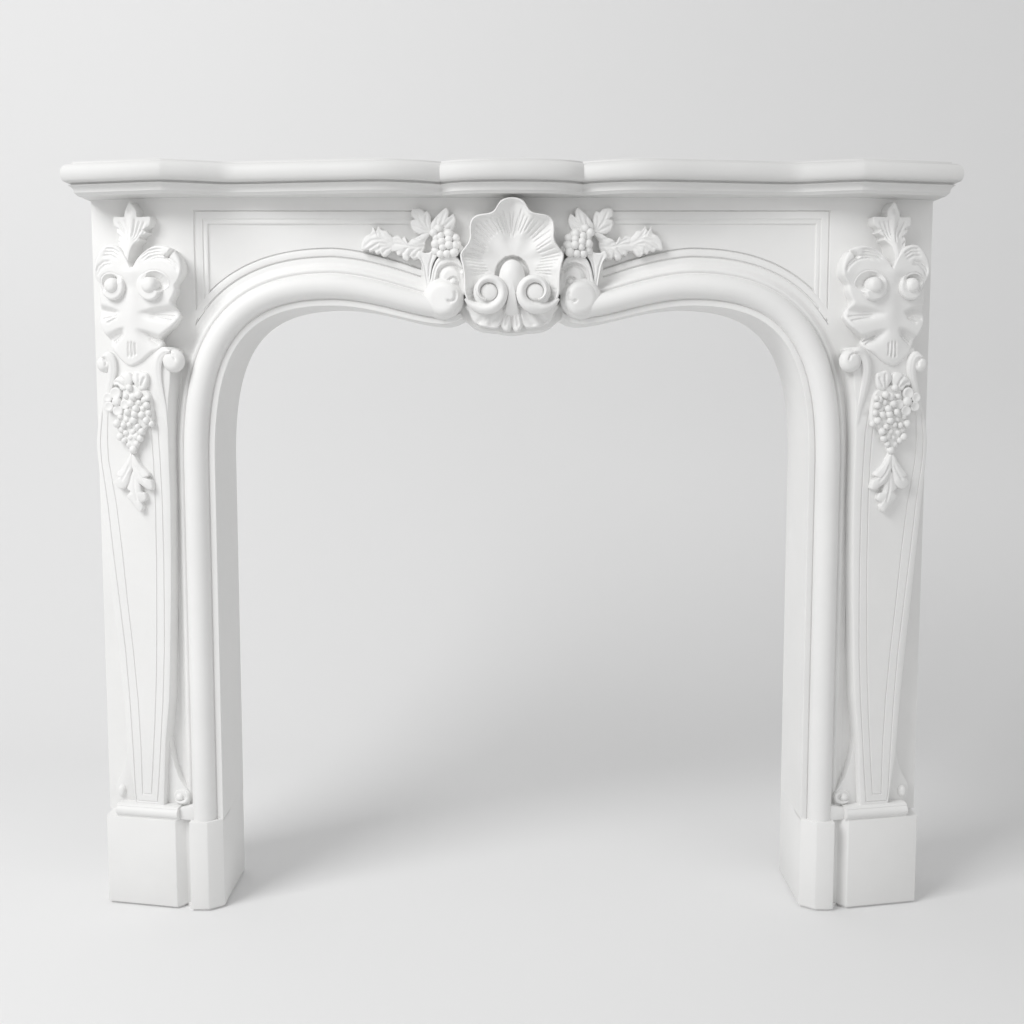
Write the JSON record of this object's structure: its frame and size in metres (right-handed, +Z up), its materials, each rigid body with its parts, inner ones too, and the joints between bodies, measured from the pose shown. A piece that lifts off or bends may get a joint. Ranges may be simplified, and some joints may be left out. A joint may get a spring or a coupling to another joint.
{
  "type": "fireplace mantel",
  "caption": "White carved fireplace mantel: serpentine moulded shelf on an arched frieze with shell, vine sprays and canted scroll jambs on plinth blocks.",
  "frame": {"origin": "centre of the bounding box on the floor, midway between the wall plane and the front of the shelf nosing", "axes": "+X along the shelf to the right of a person facing the mantel, +Y towards the wall, +Z up"},
  "size_m": [1.28, 0.196, 1.1],
  "materials": {
    "shelf_stone": "matte white, softly honed",
    "carved_stone": "matte white, softly honed"
  },
  "bodies": {
    "root": {"mantel_shelf": "shelf_stone", "frieze": "carved_stone", "left_jamb": "carved_stone", "right_jamb": "carved_stone"}
  },
  "joints": []
}
